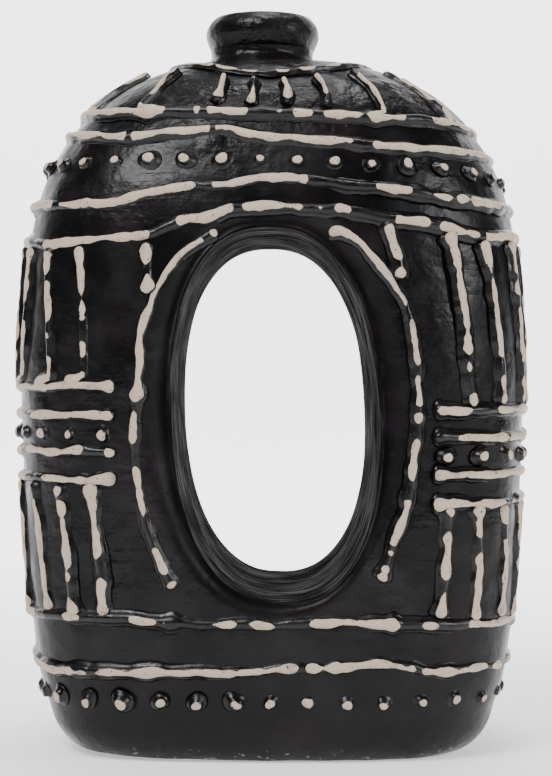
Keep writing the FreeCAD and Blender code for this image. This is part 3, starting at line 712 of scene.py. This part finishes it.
# %% Window frame
FRAME_LEFT = [
    (107, -3.2), (117.5, -2.0), (126, -1.3), (134, 0.1), (139, 0.2), (146, 0.5), (158, -0.8), (167, -0.6),
    (180, -0.2), (200, 0.3), (217, 0.8), (230, 2.0), (240, 3.6),
]
FRAME_RIGHT = [
    (74, -3.4), (63, -1.0), (50, 0.2), (38, 1.4), (24, 1.8), (5, 0.8), (-20, 0.3), (-43, 0.3), (-58, 3.2),
]
STAYS = [
    [(-40.3, 169.6), (-39.8, 160), (-38.9, 151.5)],
    [(37.3, 176.2), (38.6, 169), (40.2, 162.5), (40.8, 156)],
]
FRAME_AWAY, FRAME_HALF, FRAME_RISE = 2.0, 1.75, 1.5
joint_half = np.array([(tunnel_high[0] - tunnel_low[0]) / 2, (tunnel_high[2] - tunnel_low[2]) / 2])
joint_middle = (tunnel_high[2] + tunnel_low[2]) / 2


def turn_of(x, height):
    """The turn at which the front of the wall stands at that x."""
    return np.degrees(np.arctan2(x, front_depth(x, height)))


def frame_line(table, back, seed):
    """A bead beside the window: angle round the tunnel's middle, and how far outside its clay.

    At the back the line starts lower and never crosses the tunnel's mouth.
    """
    angle, gap = spline(table[1:] if back else table, per_span=40).T
    gap = np.maximum(gap, 0.0) if back else gap
    angle = np.radians(angle)
    r = oval_radius(angle, *joint_half) + FRAME_AWAY + gap
    x, z = tunnel_x + r * np.cos(angle), joint_middle + r * np.sin(angle)
    turn = turn_of(x, z)
    return bead(180 - turn if back else turn, z, seed, half=FRAME_HALF, rise=FRAME_RISE, bare=0.07, rub=0.7)


def stay(places, back, seed):
    """A short bead from the line over the window down to the frame line, through places x, z."""
    x, z = np.array(places, float).T
    turn = turn_of(x, z)
    return stroke(np.stack([180 - turn if back else turn, z], -1), seed, half=1.9, bare=0.05)


for k, name in enumerate(("front_window_frame", "back_window_frame")):
    back, tables = k == 1, (FRAME_LEFT, FRAME_RIGHT)
    lines = [frame_line(table, back, 700 + 40 * k + 20 * j) for j, table in enumerate(tables)]
    lines += [stay(places, back, 780 + 40 * k + 20 * j) for j, places in enumerate(STAYS)]
    slip_piece(name, lines)

# %% Side panels
BAND_GAP, PANEL_GAP = 6.0, 15.0     # dots to the lines beside them, and to the panels
SIDES = {
    "left": {
        "way": -1, "band": 0.45, "hook": 5.0,
        "upper": [(0.10, 0.07), (0.20, 0.16), (0.28, 0.28), (0.40, 0.39), (0.52, 0.53), (0.63, 0.62),
                  (0.74, 0.75), (0.84, 0.85), (0.93, 0.92)],
        "lower": [(0.06, 0.035), (0.14, 0.11), (0.23, 0.19), (0.35, 0.30), (0.47, 0.46), (0.59, 0.60),
                  (0.70, 0.71), (0.80, 0.82), (0.90, 0.93)],
    },
    "right": {
        "way": 1, "band": 0.39, "hook": 0.0,
        "upper": [(0.05, 0.09), (0.145, 0.18), (0.26, 0.29), (0.40, 0.40), (0.53, 0.54), (0.65, 0.64),
                  (0.75, 0.76), (0.85, 0.86), (0.93, 0.94)],
        "lower": [(0.035, 0.02), (0.115, 0.115), (0.205, 0.205), (0.29, 0.30), (0.42, 0.41), (0.55, 0.56),
                  (0.67, 0.68), (0.79, 0.80), (0.90, 0.92)],
    },
}


def panel_turn(way, share):
    """The turn at a share of the way from the front frame round one side to the back frame."""
    edge = np.abs(turn_of(tunnel_x + way * (joint_half[0] + 2 * CLEAR), middle))
    return way * (edge + (180 - 2 * edge) * share)


def bars(way, shares, low, high, seed, hook=0.0):
    """Upright beads between two lines; hook is how far, in degrees, the foot turns away from the window."""
    draw, made = np.random.default_rng(seed), []
    for k, (top, bottom) in enumerate(shares):
        t_top, t_bottom = panel_turn(way, top), panel_turn(way, bottom)
        z_top = float(high(t_top)) - draw.uniform(0.2, 1.8)
        z_bottom = float(low(t_bottom)) + draw.uniform(0.2, 1.8)
        ends = [(t_top, z_top), ((t_top + t_bottom) / 2 + 0.4, (z_top + z_bottom) / 2), (t_bottom, z_bottom)]
        if hook:
            bend = way * hook
            ends[2:] = [(t_bottom, z_bottom + 5), (t_bottom + 0.25 * bend, z_bottom + 2),
                        (t_bottom + bend, z_bottom)]
        made.append(stroke(ends, seed + 9 * k, bare=0.1, blob=0.35))
    return made


def across(way, height, seed, bare=0.08):
    """One level bead over the width of a side panel."""
    turns = panel_turn(way, np.linspace(-0.005, 1.005, 500))
    return [bead(turns, np.full_like(turns, height), seed, half=1.9, bare=bare)]


# %% [markdown]
# ## Dots
#
# A dot is slip dropped from the tip: a wide wet foot, a waist and a nipple that keeps its pale slip
# where the black was wiped off. Each is the same small profile turned round the wall's normal, with
# its own size and a tip that leans a little.

# %% Dots
DOT_PROFILE = np.array([
    (3.6, -0.3), (2.95, 0.15), (2.45, 0.55), (2.1, 1.1), (1.85, 1.7), (1.4, 2.2), (0.75, 2.45),
])
DOT_PITCH = 12.0


def dots(turn, height, seed, sides=18):
    """Dots at turns and heights; the last row of each profile closes in a tip."""
    draw = np.random.default_rng(seed)
    foot, normal = on_wall(turn, height), outward(turn, height)
    foot = foot + normal * hand(foot)[:, None]
    side = unit(np.cross(np.array([0, 0, 1.0]), normal))
    up = np.cross(normal, side)
    count, rows = len(foot), len(DOT_PROFILE)
    size = draw.uniform(0.82, 1.15, (count, 1, 1))
    lean = draw.normal(0, 0.28, (count, 2)) - [0, 0.25]
    angle = np.linspace(0, 2 * math.pi, sides, endpoint=False)
    r, z = DOT_PROFILE[:, 0], DOT_PROFILE[:, 1]
    flat = np.stack([np.cos(angle), np.sin(angle)], -1)
    wobble = 1 + 0.1 * np.sin(angle * 2 + draw.uniform(0, 6, (count, 1)))
    wobble = wobble + 0.05 * np.sin(angle * 3 + draw.uniform(0, 6, (count, 1)))
    ring = r[None, :, None, None] * flat * wobble[:, None, :, None] * size[..., None]
    ring = ring + lean[:, None, None, :] * np.clip(z / 2, 0, 1.2)[None, :, None, None]
    tip = lean * 1.2
    points = (foot[:, None, None] + side[:, None, None] * ring[..., :1] + up[:, None, None] * ring[..., 1:]
              + normal[:, None, None] * (z[:, None] * size)[..., None])
    tips = foot + side * tip[:, :1] + up * tip[:, 1:] + normal * (2.6 * size[:, :, 0])
    parts = []
    quads = grid_quads(rows, sides, wrap_columns=True)
    c = np.arange(sides)
    c1, last = (c + 1) % sides, (rows - 1) * sides
    tri = np.concatenate([np.stack([last + c, last + c1, np.full(sides, rows * sides)], -1),
                          np.stack([c1, c, np.full(sides, rows * sides + 1)], -1)])
    bottoms = foot - normal * 0.3
    for k in range(count):
        cream = z / 2.6 - draw.uniform(0.74, 0.88)
        values = np.concatenate([np.repeat(cream, sides), [0.4, -1]])
        places = np.concatenate([points[k].reshape(-1, 3), tips[k:k + 1], bottoms[k:k + 1]])
        parts.append((places, quads, tri, values))
    return parts


def dot_places(height_at, first=-180.0, last=180.0):
    """Turns about a pitch apart along the wall."""
    turn = np.linspace(first, last, 721)
    spots = on_wall(turn, height_at(turn))
    run = np.concatenate([[0], np.cumsum(np.linalg.norm(np.diff(spots, axis=0), axis=1))])
    count = round(run[-1] / DOT_PITCH)
    places = np.interp(np.linspace(0, run[-1], count + 1), run, turn)
    return places[:-1] if last - first == 360 else places


for seed, name in enumerate(("upper_dots", "lower_dots")):
    turn = dot_places(HEIGHTS[name])
    slip_piece(name, dots(turn, HEIGHTS[name](turn), 50 + seed))

for k, (side, plan) in enumerate(SIDES.items()):
    way, centre, seed = plan["way"], sill + (tunnel_top - sill) * plan["band"], 1000 + 500 * k
    over, under = lambda t: centre + PANEL_GAP, lambda t: centre - PANEL_GAP
    upper = bars(way, plan["upper"], over, HEIGHTS["panel_top_line"], seed, plan["hook"])
    lower = bars(way, plan["lower"], HEIGHTS["panel_base_line"], under, seed + 100)
    slip_piece(side + "_upper_bars", upper)
    slip_piece(side + "_lower_bars", lower)
    slip_piece(side + "_panel_sill", across(way, centre + PANEL_GAP, seed + 200))
    slip_piece(side + "_band_top_line", across(way, centre + BAND_GAP, seed + 220))
    slip_piece(side + "_band_bottom_line", across(way, centre - BAND_GAP, seed + 240))
    slip_piece(side + "_panel_head", across(way, centre - PANEL_GAP, seed + 260))
    ends = sorted((panel_turn(way, 0.03), panel_turn(way, 0.99)))
    turn = dot_places(lambda t: centre + 0 * t, *ends)
    slip_piece(side + "_band_dots", dots(turn, np.full_like(turn, centre), 60 + k))

# %% [markdown]
# ## Burnished black clay
#
# Barro negro is black through and through: the kiln is starved of air and smoke enters the clay. A
# stone rubbed over it before firing leaves a skin between satin and gloss, with wipe marks that run
# round the vase, and round the rim inside the tunnel. Inside the tunnel the brushed marks are also
# painted paler, a painted sheen in place of the grey gleam of its walls, and its real gloss is turned
# nearly off. Pattern and bump read Object coordinates, so they stay with the clay, and where the
# tunnel begins is read from the mesh.


# %% Node helper
class Recipe:
    """A material's nodes, added and linked by short calls."""

    def __init__(self, name):
        self.material = bpy.data.materials.new(name)
        self.material.use_nodes = True
        self.tree = self.material.node_tree
        self.shader = self.tree.nodes["Principled BSDF"]
        self.place = self.tree.nodes.new("ShaderNodeTexCoord").outputs["Object"]

    def node(self, kind, settings=(), **inputs):
        """A new node; inputs are given by name with _ for a space, or by number as i0, i1."""
        made = self.tree.nodes.new("ShaderNode" + kind)
        for key, value in dict(settings).items():
            setattr(made, key, value)
        for key, value in inputs.items():
            socket = int(key[1:]) if key[1:].isdigit() else key.replace("_", " ")
            self.feed(made.inputs[socket], value)
        return made

    def feed(self, socket, value):
        """Link an output to a socket, or set a plain value on it."""
        if isinstance(value, bpy.types.NodeSocket):
            self.tree.links.new(value, socket)
        else:
            socket.default_value = value

    def noise(self, scale, stretch=(1, 1, 1), detail=3.0, rough=0.5):
        """Noise with a number of cells to the metre, stretched along the axes."""
        moved = self.node("Mapping", Vector=self.place, Scale=stretch).outputs[0]
        return self.node("TexNoise", Vector=moved, Scale=scale, Detail=detail, Roughness=rough).outputs["Fac"]

    def ramp(self, value, low, high, out_low=0.0, out_high=1.0):
        """Map low..high to out_low..out_high with soft ends."""
        settings = {"interpolation_type": "SMOOTHSTEP"}
        return self.node("MapRange", settings, Value=value, From_Min=low, From_Max=high,
                         To_Min=out_low, To_Max=out_high).outputs[0]

    def math(self, operation, a, b=0.0):
        """One step of arithmetic on two values."""
        return self.node("Math", {"operation": operation}, i0=a, i1=b).outputs[0]

    def mix(self, share, a, b):
        """Colour a + (b - a) * share."""
        made = self.node("Mix", {"data_type": "RGBA"}, i0=share)
        self.feed(made.inputs[6], a)
        self.feed(made.inputs[7], b)
        return made.outputs[2]

    def value(self, name):
        """A number that the mesh carries."""
        return self.node("Attribute", {"attribute_name": name}).outputs["Fac"]

    def bump(self, height, depth, under=None):
        """Bump of a depth in millimetres over a height map of 0..1."""
        made = self.node("Bump", Strength=1.0, Distance=depth * MM, Height=height)
        if under is not None:
            self.feed(made.inputs["Normal"], under)
        return made.outputs[0]


BLACK = (0.0035, 0.0031, 0.0037, 1)
SMOKE = (0.0095, 0.0078, 0.0093, 1)
RUST = (0.0105, 0.0052, 0.0045, 1)
# the paler grey-purple of the brushed streaks: real brush marks, and in the tunnel a painted sheen
BRUSHED_STREAK_AND_SHEEN = (0.026, 0.020, 0.027, 1)
CREAM = (0.52, 0.425, 0.325, 1)
PINK = (0.49, 0.385, 0.31, 1)
DUST = (0.22, 0.18, 0.165, 1)


def clay_colour(r):
    """Black with smoky and rusty clouds."""
    clouds = r.mix(r.ramp(r.noise(38, detail=4), 0.45, 0.7), BLACK, SMOKE)
    return r.mix(r.ramp(r.noise(55, detail=5), 0.56, 0.74, 0, 0.7), clouds, RUST)


def clay_bumps(r, wipe):
    """Wipe marks, fine pits and the small waves that the burnishing stone leaves."""
    waves = r.bump(r.noise(150, detail=2), 0.5)
    marks = r.bump(wipe, 0.14, waves)
    return r.bump(r.noise(1100, detail=3), 0.07, marks)


def burnished_clay():
    """Black clay: wiped round the wall outside, brushed and dull inside the tunnel with a painted sheen on
    its streaks, chipped at the foot.
    """
    r = Recipe("burnished_black_clay")
    in_tunnel = r.value("tunnel")
    round_wall = r.noise(46, (1, 1, 9), detail=5, rough=0.6)
    round_rim = r.noise(60, (1, 7, 1), detail=5, rough=0.65)
    wipe = r.node("Mix", {"data_type": "FLOAT"}, i0=in_tunnel, i2=round_wall, i3=round_rim).outputs[0]
    streak_and_sheen = r.ramp(wipe, 0.5, 0.72)
    # painted sheen: the paler streak colour is mixed in faintly outside and strongly in the tunnel, where it
    # stands in for the grey gleam of the brushed walls; the marks themselves are real
    colour = r.mix(r.math("MULTIPLY", streak_and_sheen, r.ramp(in_tunnel, 0, 1, 0.04, 0.9)), clay_colour(r), BRUSHED_STREAK_AND_SHEEN)
    height = r.node("SeparateXYZ", Vector=r.place).outputs[2]
    low_edge = r.ramp(height, 0.006, 0.001)
    chips = r.math("MULTIPLY", low_edge, r.ramp(r.noise(420, detail=4), 0.62, 0.66))
    colour = r.mix(chips, colour, DUST)
    r.feed(r.shader.inputs["Base Color"], colour)
    gloss = r.ramp(r.noise(70, detail=4), 0.35, 0.65, 0.24, 0.42)
    r.feed(r.shader.inputs["Roughness"], r.math("ADD", gloss, r.math("MULTIPLY", in_tunnel, 0.22)))
    crumpled = r.noise(120, (1, 1, 1.5), detail=4, rough=0.55)
    wrinkles = r.math("MULTIPLY", crumpled, r.ramp(height, 0.192, 0.212))
    r.feed(r.shader.inputs["Normal"], r.bump(wrinkles, 1.1, clay_bumps(r, wipe)))
    brushed_shine = r.ramp(wipe, 0.4, 0.72, 0.0, 0.004)
    shine = r.node("Mix", {"data_type": "FLOAT"}, i0=in_tunnel, i2=0.2, i3=brushed_shine).outputs[0]
    r.feed(r.shader.inputs["Specular IOR Level"], shine)
    return r.material


# %% [markdown]
# ## Slip
#
# The trails were blackened with the rest and then rubbed back, so pale slip shows on their crests
# and black stays on their sides. The pale value of the mesh gives the crest; fine noise roughens its
# edge, and specks of black and a little dust break it up.


# %% Slip material
def trailed_slip():
    """Cream where the pale value is over 0, with a frayed edge, and the clay's black below it."""
    r = Recipe("rubbed_slip")
    fray = r.math("MULTIPLY", r.math("SUBTRACT", r.noise(520, detail=5, rough=0.7), 0.5), 0.34)
    pale = r.ramp(r.math("ADD", r.value("pale"), fray), -0.03, 0.03)
    specks = r.ramp(r.noise(1100, detail=3), 0.66, 0.69)
    pale = r.math("MULTIPLY", pale, r.math("SUBTRACT", 1.0, specks))
    cream = r.mix(r.ramp(r.noise(90, detail=4), 0.42, 0.62), CREAM, PINK)
    cream = r.mix(r.ramp(r.noise(130, detail=5, rough=0.62), 0.56, 0.74, 0, 0.75), cream, DUST)
    r.feed(r.shader.inputs["Base Color"], r.mix(pale, clay_colour(r), cream))
    gloss = r.ramp(r.noise(200, detail=3), 0.35, 0.65, 0.24, 0.4)
    r.feed(r.shader.inputs["Roughness"], r.math("MAXIMUM", gloss, r.math("MULTIPLY", pale, 0.62)))
    lumps = r.bump(r.noise(330, detail=3), 0.25)
    r.feed(r.shader.inputs["Normal"], r.bump(r.noise(1700, detail=2), 0.05, lumps))
    r.shader.inputs["Specular IOR Level"].default_value = 0.36
    return r.material


clay, slip = burnished_clay(), trailed_slip()

# %% [markdown]
# ## Hand the pieces to the frame
#
# Each piece takes its finish and the body that it moves with, and the design's nodes that it stands for
# are hidden. The fired body stands for all the courses of the wall, which are one clay after the firing.

# %% Finish
for piece in (clay_body, neck, lip):
    piece.data.materials.append(clay)
for piece in slip_pieces:
    piece.data.materials.append(slip)
for piece in (clay_body, neck, lip, *slip_pieces):
    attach(piece, "root")
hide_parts("base_slab", "lower_wall", "left_pillar", "right_pillar", "upper_wall",
            "shoulder_dome", "tunnel_wall")
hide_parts("neck_collar")
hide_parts("mouth_lip")
print("pieces", 3 + len(slip_pieces))
